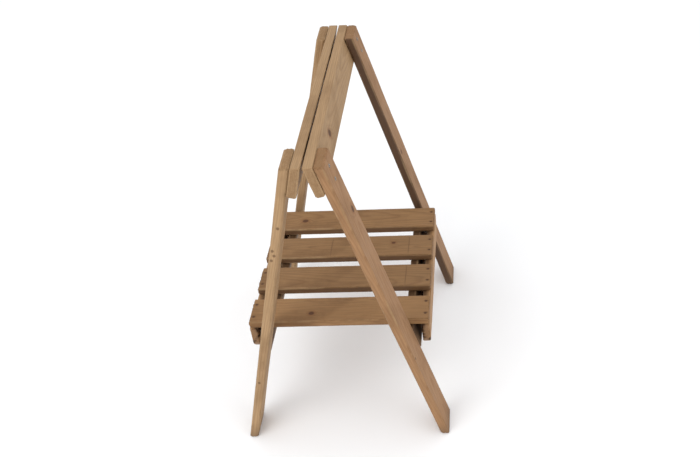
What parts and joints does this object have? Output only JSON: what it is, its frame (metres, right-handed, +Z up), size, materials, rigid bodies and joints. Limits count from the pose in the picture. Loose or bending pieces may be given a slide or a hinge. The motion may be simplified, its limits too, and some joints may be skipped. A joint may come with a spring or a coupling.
{
  "type": "folding sawhorse",
  "caption": "Folding wooden sawhorse: board A-frames hinged along a flat top, held open by a lift-off slatted shelf whose end rails hook over the crossbars.",
  "frame": {"origin": "on the floor, midway between the four feet", "axes": "+Z up; X across the spread of the feet; Y along the top, front end at -Y"},
  "size_m": [0.448, 0.56, 0.725],
  "materials": {
    "leg_wood": "bare pine, aged and handled",
    "rail_wood": "bare pine, aged, darker",
    "shelf_wood": "bare pine, weathered brown",
    "hinge_steel": "dull zinc plate, worn",
    "screw_steel": "dull zinc plate",
    "nail_steel": "rusted wire nail"
  },
  "bodies": {
    "left_frame": {"leg_left_front": "leg_wood", "leg_left_rear": "leg_wood", "top_rail_left": "rail_wood", "crossbar_left": "rail_wood", "frame_nails_left": "nail_steel", "top_screws_left": "screw_steel", "hinge_leaf_left_front": "hinge_steel", "hinge_leaf_left_rear": "hinge_steel", "leaf_screws_left": "screw_steel", "hinge_pin_front": "hinge_steel", "hinge_pin_rear": "hinge_steel"},
    "right_frame": {"leg_right_front": "leg_wood", "leg_right_rear": "leg_wood", "top_rail_right": "rail_wood", "crossbar_right": "rail_wood", "frame_nails_right": "nail_steel", "top_screws_right": "screw_steel", "hinge_leaf_right_front": "hinge_steel", "hinge_leaf_right_rear": "hinge_steel", "leaf_screws_right": "screw_steel"},
    "shelf": {"slat_1": "shelf_wood", "slat_2": "shelf_wood", "slat_3": "shelf_wood", "slat_4": "shelf_wood", "shelf_rail_left": "shelf_wood", "shelf_rail_right": "shelf_wood", "slat_nails": "nail_steel"}
  },
  "joints": [
    {"name": "frame_fold", "type": "hinge", "parent": "left_frame", "child": "right_frame", "pos_m": [0, 0, 0.70583], "axis": [0, 1, 0], "range_deg": [0, 28.5]},
    {"name": "shelf_lift", "type": "slide", "parent": "left_frame", "child": "shelf", "axis": [0, 0, 1], "range_m": [0, 0.2]}
  ]
}
